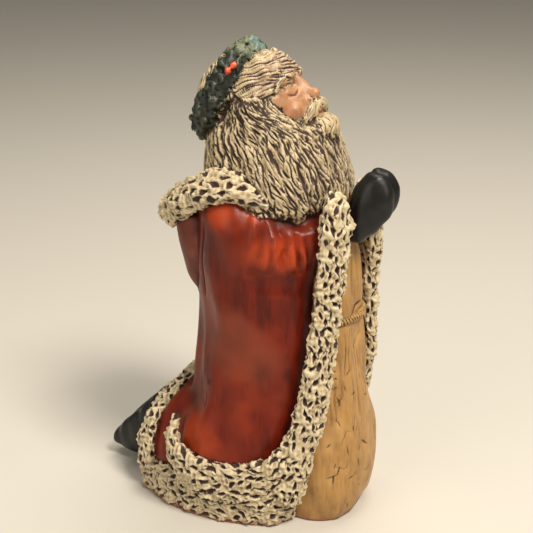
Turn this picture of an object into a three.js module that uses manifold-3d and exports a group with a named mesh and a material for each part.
import * as THREE from "three";
import { mergeVertices } from "three/addons/utils/BufferGeometryUtils.js";
import Module from "manifold-3d";

const wasm = await Module();
wasm.setup();

// Kneeling winter figure in painted fired clay, head thrown back and hands pressed together.
// Millimetres, +Z up. The figure looks towards -Y, and its right hand is on the -X side.
// Station lists run from the foot of a form to its top, or along a path from start to end.

const clay = { color: 0x96402c, roughness: 0.55, metalness: 0 };
const below = -4; // forms that stand on the ground run on to here, and the flat underside is cut at zero
const furDepth = 1.4; // from the top of a tuft of fur to the bottom of the poked hole beside it
const padSquare = 2.35; // how boxy the section of a padded strip is, where 2 is an ellipse
const foldSway = 0.6; // how far a fold of cloth wanders sideways, in folds
const creaseSlant = 1.5; // how far a crease runs along a sleeve on its way round, in radians

const coat = {
  z: [below, 20, 42, 62, 84, 108, 130, 150, 164, 175, 182],
  front: [-24, -29, -33, -36, -38, -38, -38, -37, -30, -20, -12],
  back: [34, 42, 42, 33.5, 31, 29, 29, 30, 28, 23, 15],
  wide: [38, 44, 44.5, 41, 39, 37.5, 39.5, 41.5, 38.5, 28, 17],
  square: 2.3,
  folds: 6,
  foldDepth: 1,
  foldFrom: 0.1,
  around: 24,
  along: 11
};

const gown = {
  z: [below, 10, 25, 44, 64, 86, 108, 130, 148, 160],
  front: [-52, -58.5, -61, -59.5, -56, -53.5, -51.5, -51, -48, -43],
  back: [-12, -12, -12, -12, -12, -12, -12, -12, -12, -14],
  wide: [25, 28, 29, 27.5, 25, 23, 21, 19, 15, 10],
  square: 2.4,
  folds: 8,
  foldDepth: 0.8,
  foldFrom: 0.4,
  around: 20,
  along: 9
};

const hood = {
  z: [104, 109, 119, 132, 146, 157],
  front: [22, 14, 10, 8, 8, 8],
  back: [29, 33, 37, 40.5, 42, 41],
  wide: [6, 13, 20, 25, 28, 28],
  square: 2.1,
  folds: 3,
  foldDepth: 0.8,
  foldFrom: 0,
  around: 18,
  along: 7
};

// a tent of cloth over the calves: it opens at the back as an arch that leans forward as it rises
const train = {
  foot: [10, 22, 34, 44, 52.5],
  top: [0, 10, 20, 29, 36],
  height: [84, 80, 74, 68, 62],
  wide: [35, 36, 35, 31, 26],
  bow: [0, 0, 1, 3, 4.5], // how far each arch bulges back between its feet and its top
  square: 2.1,
  around: 14,
  along: 4
};

const trainHem = {
  wide: [7, 6, 4.5, 4.5, 4.5, 4.5, 4.5, 6, 7],
  thick: 4,
  hub: [0, 40, 0],
  rise: 1,
  around: 8,
  along: 20,
  points: 8
};

// paths of the near side, where the far side is the mirror image unless it has a path of its own
const groundHem = {
  path: [[-22, 55, 5], [-31, 45, 6.5], [-37, 30, 7.5], [-39.5, 13, 8], [-39, -4, 9], [-36, -18, 11],
    [-27, -28, 12]],
  wide: [5, 8, 10, 11, 12, 12, 11],
  thick: [4, 4.5, 5, 5, 5, 5, 5],
  hub: [0, 10, 0],
  around: 8,
  along: 15
};

const panelHem = {
  path: [[-34.5, 29.5, 58], [-39.5, 31, 46], [-42.5, 25.5, 32.5], [-44, 11, 24], [-43.5, -7, 25], [-41, -20, 31],
    [-37.5, -30, 42]],
  wide: [2, 4, 7.5, 11, 11.5, 10, 8],
  thick: [1.8, 3, 4, 4.2, 4.2, 4, 4],
  hub: [0, 5, 0],
  around: 8,
  along: 14
};

const nearStrip = {
  path: [[-19, -45, 174], [-22, -46, 165], [-24, -46, 152], [-25.5, -45, 125], [-28, -42, 98], [-31.5, -40, 73],
    [-35, -35, 50], [-37, -30, 32], [-36, -27, 16]],
  wide: [7, 8.5, 8, 7.5, 7.5, 8, 8.5, 9, 8],
  thick: [4.5, 4.5, 4, 3.6, 3.6, 3.8, 4, 4, 4],
  hub: [0, -20, 0],
  around: 8,
  along: 18
};

const farStrip = {
  path: [[19, -45, 170], [23, -48, 161], [25, -49.5, 148], [27.5, -48, 124], [29, -47.5, 98], [30, -46.5, 73],
    [32, -40, 50], [35, -32, 32], [36, -27, 16]],
  wide: [7, 8, 7.5, 7, 7, 7.5, 8.5, 9, 8],
  thick: [4.5, 4.5, 4.5, 4.5, 4.5, 4.5, 4, 4, 4],
  hub: [0, -20, 0],
  around: 8,
  along: 18
};

const collar = {
  path: [[0, 42.5, 152], [-15, 40, 156], [-27, 31, 164], [-34, 17, 173], [-34, 3, 178], [-29, -11, 176],
    [-22, -22, 170]],
  wide: [10, 9.5, 9, 8.5, 8, 8, 6],
  thick: [7, 7, 6.5, 6, 5.5, 5, 4],
  hub: [0, 6, 120],
  rise: 0.8,
  around: 9,
  along: 15
};

const sleeve = {
  path: [[-16, 13, 166], [-25, 9, 162], [-28, 0, 153], [-26.5, -12, 147], [-21.5, -24, 148],
    [-15, -34, 153], [-10, -42, 158]],
  radius: [10, 14, 14.5, 14, 12, 10, 8],
  folds: 6,
  foldDepth: 1.1,
  around: 12,
  along: 10
};

const cuff = {
  path: [[-13, -37, 154], [-11, -41.5, 157.5], [-9, -45.5, 161]],
  radius: [9.5, 10.5, 9],
  folds: 1.5,
  foldDepth: 0.6,
  around: 10,
  along: 4
};

const mitten = {
  path: [[-5, -44, 158], [-5.5, -48, 153], [-5.5, -53, 157], [-5.5, -57, 166], [-5, -59, 174],
    [-4, -59.5, 181]],
  wide: [4, 6.5, 8.8, 10.8, 9.6, 4],
  thick: [4, 5.5, 6.5, 6.5, 5.5, 3],
  around: 10,
  along: 8
};

const boot = {
  y: [34, 48, 60, 70, 80, 89],
  low: [below, below, 2, 4, 5, 8],
  high: [50, 52, 45, 35, 25, 15],
  x: [-6, -5.5, -5, -5, -4.5, -4],
  wide: [7.5, 7.5, 6.5, 5.5, 4.8, 2.5],
  shift: 2.5, // both boots lie a little to the far side
  square: 2.3,
  around: 10,
  along: 7
};

// hair and beard hang as one mass round the neck, cut into wavy locks
const hair = {
  z: [155, 161, 172, 185, 195, 203, 210, 216],
  front: [-40, -45, -45, -41.5, -38, -32, -18, -6],
  back: [26, 30, 27, 27, 26, 21, 15, 8],
  wide: [29, 34.5, 35.5, 33, 30, 26.5, 23, 18],
  square: 2.15,
  locks: 20,
  lockDepth: 1.6,
  wave: 0.3,
  around: 40,
  along: 8
};

// the head is made upright round its own middle, facing -Y, and then leans back
const head = { centre: [0, -1, 204], lean: 38, wide: 21, deep: 22.5, tall: 24.5 };

// middle and half sizes of each rounded form of the face
const face = [
  { at: [0, -7, -6], size: [17, 18, 20], around: 12, along: 8 },
  { at: [0, -20.5, 6], size: [13, 4.5, 3.4], around: 10, along: 5 },
  { at: [0, -23.5, -1], size: [2.8, 4, 7], around: 8, along: 5 },
  { at: [0, -27, -6.5], size: [3.4, 3.4, 2.9], around: 8, along: 5 },
  { at: [0, -23, -15], size: [5, 2.6, 1.8], around: 8, along: 4 },
  { at: [0, -15, -23], size: [15, 14, 9], around: 12, along: 6 }
];

// the same for what the face has on both sides
const facePairs = [
  { at: [-8.4, -18.8, 0.6], size: [4.8, 3.8, 3.2], around: 8, along: 5 },
  { at: [-10, -18, -8], size: [7, 6, 5.6], around: 8, along: 6 }
];

const moustache = {
  path: [[0, -26, -11], [-5, -26, -12], [-10, -23.5, -15], [-14.5, -19, -20]],
  wide: [2.4, 3.2, 3, 1.6],
  thick: [2, 2.6, 2.4, 1.4],
  hub: [0, 0, 0],
  rise: 1,
  around: 7,
  along: 6
};

// the cap of hair combed back from the brow, in the same way
const browHair = { at: [0, -3, 11], size: [22, 23.5, 17.5], around: 18, along: 8 };

const wreath = {
  centre: [0, 16.6, 213.8],
  lean: 63,
  radius: 22,
  tall: 5.8,
  thick: 4.8,
  front: 0.7, // how much thicker it is over the brow
  crown: 18, // half the height of the dome of hair inside the ring
  crownDrop: 4,
  leaves: 9.5,
  leafDepth: 1.4,
  around: 8,
  along: 38
};

const berries = { size: [2, 1.4, 1.4], places: [[-19.5, 6.4, 229.8], [-21.7, 8.2, 227.5]] };

// a twisted rope across the gown, over reach degrees of a round waist
const belt = { z: 108, y: -30, radius: 22.5, thick: 1.7, turns: 9, reach: 118, around: 5, along: 20 };

// value at t of an even spline through the station values
function through(values, t) {
  if (!Array.isArray(values)) {
    return values;
  }
  const last = values.length - 1;
  const at = Math.min(Math.floor(t * last), last - 1);
  const f = t * last - at;
  const b = values[at];
  const c = values[at + 1];
  const a = at > 0 ? values[at - 1] : 2 * b - c;
  const d = at + 2 <= last ? values[at + 2] : 2 * c - b;
  return 0.5 * (2 * b + (c - a) * f + (2 * a - 5 * b + 4 * c - d) * f * f + (3 * b - a - 3 * c + d) * f ** 3);
}

function power(value, exponent) {
  return Math.sign(value) * Math.abs(value) ** exponent;
}

// closed body through rings of points, capped with a fan at both ends, or joined end to start
function skin(rings, looped = false) {
  const around = rings[0].length;
  const points = rings.flat();
  const faces = [];
  const spans = looped ? rings.length : rings.length - 1;
  for (let row = 0; row < spans; row++) {
    for (let k = 0; k < around; k++) {
      const a = row * around + k;
      const b = row * around + ((k + 1) % around);
      const c = ((row + 1) % rings.length) * around + ((k + 1) % around);
      const d = ((row + 1) % rings.length) * around + k;
      faces.push(a, b, d, b, c, d);
    }
  }
  if (!looped) {
    for (const [row, flip] of [[0, true], [rings.length - 1, false]]) {
      const middle = new THREE.Vector3();
      rings[row].forEach((p) => middle.addScaledVector(p, 1 / around));
      points.push(middle);
      for (let k = 0; k < around; k++) {
        const a = row * around + k;
        const b = row * around + ((k + 1) % around);
        faces.push(...(flip ? [b, a, points.length - 1] : [a, b, points.length - 1]));
      }
    }
  }
  const geometry = new THREE.BufferGeometry().setFromPoints(points);
  geometry.setIndex(faces);
  return geometry;
}

// one closed geometry as a solid, turned inside out if its faces point inwards
function solid(geometry) {
  const bare = geometry.clone();
  bare.deleteAttribute("normal");
  bare.deleteAttribute("uv");
  const merged = mergeVertices(bare, 1e-4);
  const vertProperties = new Float32Array(merged.attributes.position.array);
  const triVerts = new Uint32Array(merged.index.array);
  if (signedVolume(vertProperties, triVerts) < 0) {
    for (let i = 0; i < triVerts.length; i += 3) {
      [triVerts[i], triVerts[i + 1]] = [triVerts[i + 1], triVerts[i]];
    }
  }
  return new wasm.Manifold(new wasm.Mesh({ numProp: 3, vertProperties, triVerts }));
}

function signedVolume(xyz, triangles) {
  const corner = (i) => new THREE.Vector3().fromArray(xyz, 3 * triangles[i]);
  let volume = 0;
  for (let i = 0; i < triangles.length; i += 3) {
    volume += corner(i).dot(corner(i + 1).cross(corner(i + 2))) / 6;
  }
  return volume;
}

function mirrored(geometry) {
  return geometry.clone().scale(-1, 1, 1);
}

// rings of a form that stands upright, each a rounded oblong between front and back
function stack(form, shape = () => 0) {
  const rings = [];
  for (let row = 0; row <= form.along; row++) {
    const v = row / form.along;
    const front = through(form.front, v);
    const back = through(form.back, v);
    const wide = through(form.wide, v);
    const ring = [];
    for (let k = 0; k < form.around; k++) {
      const a = (2 * Math.PI * k) / form.around;
      const out = shape(k / form.around, v);
      ring.push(new THREE.Vector3(
        -(wide + out) * power(Math.sin(a), 2 / form.square),
        (front + back) / 2 - ((back - front) / 2 + out) * power(Math.cos(a), 2 / form.square),
        through(form.z, v)
      ));
    }
    rings.push(ring);
  }
  return skin(rings);
}

function curveOf(form) {
  return new THREE.CatmullRomCurve3(form.path.map((p) => new THREE.Vector3(...p)), false, "catmullrom", 0.5);
}

// a padded strip along a path, wide over the ground that it lies on and thick away from its hub
function band(form) {
  const curve = curveOf(form);
  const hub = new THREE.Vector3(...form.hub);
  const rings = [];
  for (let row = 0; row <= form.along; row++) {
    const v = row / form.along;
    const centre = curve.getPoint(v);
    const tangent = curve.getTangent(v);
    const out = centre.clone().sub(hub);
    out.z *= form.rise ?? 0;
    out.addScaledVector(tangent, -out.dot(tangent)).normalize();
    const side = tangent.clone().cross(out);
    const ring = [];
    for (let k = 0; k < form.around; k++) {
      const a = (2 * Math.PI * k) / form.around;
      const tuft = ((row + k) % 2 ? -1 : 1) * (furDepth / 2);
      ring.push(centre.clone()
        .addScaledVector(side, through(form.wide, v) * power(Math.cos(a), 2 / padSquare))
        .addScaledVector(out, (through(form.thick, v) + tuft) * power(Math.sin(a), 2 / padSquare)));
    }
    rings.push(ring);
  }
  return skin(rings);
}

function foldsOf(form) {
  return (u, v) => {
    const fade = THREE.MathUtils.smoothstep(v, form.foldFrom, form.foldFrom + 0.2);
    return form.foldDepth * fade * Math.sin(2 * Math.PI * (form.folds * u + foldSway * Math.sin(3 * v)));
  };
}

function makeTrain() {
  const rings = [];
  for (let row = 0; row <= train.along; row++) {
    const v = row / train.along;
    const ring = [];
    for (let k = 0; k <= train.around; k++) {
      ring.push(onTrain((Math.PI * k) / train.around, v));
    }
    ring.push(onTrain(Math.PI, v).setZ(below), onTrain(0, v).setZ(below));
    rings.push(ring);
  }
  return skin(rings);
}

// point of the train at an angle from one foot of its arch to the other
function onTrain(a, v) {
  const up = power(Math.sin(a), 2 / train.square);
  return new THREE.Vector3(
    -through(train.wide, v) * power(Math.cos(a), 2 / train.square),
    THREE.MathUtils.lerp(through(train.foot, v), through(train.top, v), up ** 4)
      + through(train.bow, v) * Math.sin(Math.PI * up),
    through(train.height, v) * up
  );
}

function makeTrainHem() {
  const path = [];
  for (let k = 0; k <= trainHem.points; k++) {
    path.push(onTrain((Math.PI * k) / trainHem.points, 1).toArray());
  }
  return band({ ...trainHem, path });
}

// round sleeve along a path, with creases across it
function tube(form) {
  const curve = curveOf(form);
  const rings = [];
  for (let row = 0; row <= form.along; row++) {
    const v = row / form.along;
    const centre = curve.getPoint(v);
    const tangent = curve.getTangent(v);
    const side = new THREE.Vector3(0, 0, 1).cross(tangent).normalize();
    const up = tangent.clone().cross(side);
    const ring = [];
    for (let k = 0; k < form.around; k++) {
      const a = (2 * Math.PI * k) / form.around;
      const crease = Math.sin(2 * Math.PI * form.folds * v + creaseSlant * Math.cos(a));
      const fade = THREE.MathUtils.smoothstep(v, 0.3, 0.6);
      const radius = through(form.radius, v) + form.foldDepth * crease * fade;
      ring.push(centre.clone()
        .addScaledVector(side, radius * Math.cos(a))
        .addScaledVector(up, radius * Math.sin(a)));
    }
    rings.push(ring);
  }
  return skin(rings);
}

function makeMitten() {
  const curve = curveOf(mitten);
  const rings = [];
  for (let row = 0; row <= mitten.along; row++) {
    const v = row / mitten.along;
    const centre = curve.getPoint(v);
    const tangent = curve.getTangent(v);
    const side = new THREE.Vector3(1, 0, 0);
    const forward = tangent.clone().cross(side).normalize();
    const ring = [];
    for (let k = 0; k < mitten.around; k++) {
      const a = (2 * Math.PI * k) / mitten.around;
      ring.push(centre.clone()
        .addScaledVector(side, through(mitten.thick, v) * Math.cos(a))
        .addScaledVector(forward, through(mitten.wide, v) * Math.sin(a)));
    }
    rings.push(ring);
  }
  return skin(rings);
}

function makeBoot() {
  const rings = [];
  for (let row = 0; row <= boot.along; row++) {
    const v = row / boot.along;
    const low = through(boot.low, v);
    const high = through(boot.high, v);
    const ring = [];
    for (let k = 0; k < boot.around; k++) {
      const a = (2 * Math.PI * k) / boot.around;
      ring.push(new THREE.Vector3(
        through(boot.x, v) + through(boot.wide, v) * power(Math.cos(a), 2 / boot.square),
        through(boot.y, v),
        (low + high) / 2 + ((high - low) / 2) * power(Math.sin(a), 2 / boot.square)
      ));
    }
    rings.push(ring);
  }
  return skin(rings);
}

function makeHair() {
  return stack(hair, (u, v) => {
    const lock = Math.abs(Math.sin(Math.PI * (hair.locks * u + hair.wave * Math.sin(9 * v + 12 * u))));
    return hair.lockDepth * (lock - 0.5);
  });
}

function onHead(geometry) {
  return geometry.rotateX(-THREE.MathUtils.degToRad(head.lean)).translate(...head.centre);
}

function ball({ at, size, around, along }) {
  return new THREE.SphereGeometry(1, around, along).rotateX(Math.PI / 2).scale(...size).translate(...at);
}

function makeHead() {
  const skull = ball({ at: [0, 0, 0], size: [head.wide, head.deep, head.tall], around: 16, along: 9 });
  const pairs = [...facePairs.map(ball), band(moustache)];
  const parts = [skull, ball(browHair), ...face.map(ball), ...pairs, ...pairs.map(mirrored)];
  return parts.map(onHead);
}

function makeWreath() {
  const rings = [];
  for (let row = 0; row < wreath.along; row++) {
    rings.push(wreathRing(row / wreath.along));
  }
  return skin(rings, true);
}

function wreathRing(v) {
  const ring = [];
  for (let k = 0; k < wreath.around; k++) {
    const a = (2 * Math.PI * k) / wreath.around;
    const leaf = wreath.leafDepth * Math.sin(2 * Math.PI * wreath.leaves * v + (k % 2 ? Math.PI : 0));
    ring.push(onWreath(2 * Math.PI * v, a, leaf));
  }
  return ring;
}

// the wreath is made flat round its own middle, and leans back like the head
const toWreath = new THREE.Matrix4()
  .makeTranslation(...wreath.centre)
  .multiply(new THREE.Matrix4().makeRotationX(-THREE.MathUtils.degToRad(wreath.lean)));

// point on the wreath: an angle round the head, an angle round its own section, and how far it stands out
function onWreath(round, a, out) {
  const more = out + wreath.front * Math.max(Math.cos(round), 0) ** 3;
  const reach = wreath.radius + (wreath.thick + more) * Math.cos(a);
  const height = (wreath.tall + more) * Math.sin(a);
  return new THREE.Vector3(reach * Math.sin(round), -reach * Math.cos(round), height).applyMatrix4(toWreath);
}

function makeCrown() {
  const size = [wreath.radius, wreath.radius, wreath.crown];
  return ball({ at: [0, 0, -wreath.crownDrop], size, around: 14, along: 7 }).applyMatrix4(toWreath);
}

function makeBerries() {
  return berries.places.map((at) => ball({ at, size: berries.size, around: 7, along: 5 }));
}

function makeBelt() {
  const rings = [];
  for (let row = 0; row <= belt.along; row++) {
    const round = THREE.MathUtils.degToRad(belt.reach) * (row / belt.along - 0.5);
    const ring = [];
    for (let k = 0; k < belt.around; k++) {
      const a = (2 * Math.PI * k) / belt.around + belt.turns * round;
      const thick = belt.thick * (k % 2 ? 0.8 : 1.15);
      const reach = thick * Math.cos(a);
      ring.push(new THREE.Vector3(
        -(belt.radius + reach) * Math.sin(round),
        belt.y - (belt.radius + reach) * Math.cos(round),
        belt.z + thick * Math.sin(a)
      ));
    }
    rings.push(ring);
  }
  return skin(rings);
}

function makeFigure() {
  const trims = [groundHem, panelHem, collar].map(band);
  const boots = [makeBoot(), mirrored(makeBoot())].map((one) => one.translate(boot.shift, 0, 0));
  const paired = [...trims, tube(sleeve), tube(cuff), makeMitten()];
  const single = [
    stack(coat, foldsOf(coat)),
    stack(gown, foldsOf(gown)),
    stack(hood, foldsOf(hood)),
    makeTrain(),
    makeTrainHem(),
    ...boots,
    band(nearStrip),
    band(farStrip),
    makeHair(),
    ...makeHead(),
    makeCrown(),
    makeWreath(),
    ...makeBerries(),
    makeBelt()
  ];
  const forms = [...single, ...paired, ...paired.map(mirrored)].map(solid);
  const whole = forms.reduce((sum, next) => sum.add(next));
  const ground = solid(new THREE.BoxGeometry(400, 400, 40).translate(0, 0, -20));
  return whole.subtract(ground);
}

// numbers of the triangles in the biggest closed shell, so that no pocket is left shut inside the clay
function biggestShell(triangles, vertexCount) {
  const root = Array.from({ length: vertexCount }, (_, i) => i);
  const find = (i) => {
    while (root[i] !== i) {
      root[i] = root[root[i]];
      i = root[i];
    }
    return i;
  };
  for (let i = 0; i < triangles.length; i += 3) {
    root[find(triangles[i + 1])] = find(triangles[i]);
    root[find(triangles[i + 2])] = find(triangles[i]);
  }
  const shells = new Map();
  for (let i = 0; i < triangles.length; i += 3) {
    const key = find(triangles[i]);
    shells.set(key, [...(shells.get(key) ?? []), ...triangles.subarray(i, i + 3)]);
  }
  return [...shells.values()].sort((a, b) => b.length - a.length)[0];
}

function geometryOf(manifold) {
  const mesh = manifold.getMesh();
  const geometry = new THREE.BufferGeometry();
  geometry.setAttribute("position", new THREE.BufferAttribute(mesh.vertProperties, 3));
  geometry.setIndex(new THREE.BufferAttribute(mesh.triVerts, 1));
  const merged = mergeVertices(geometry, 1e-4);
  merged.setIndex(biggestShell(merged.index.array, merged.attributes.position.count));
  return merged;
}

const geometry = geometryOf(makeFigure());
geometry.computeBoundingBox();
const box = geometry.boundingBox;

const figure = new THREE.Mesh(geometry, new THREE.MeshStandardMaterial(clay));
figure.name = "santa_figurine";
figure.position.set(-(box.min.x + box.max.x) / 2, -(box.min.y + box.max.y) / 2, -box.min.z);
const model = new THREE.Group();
model.add(figure);
export default model;
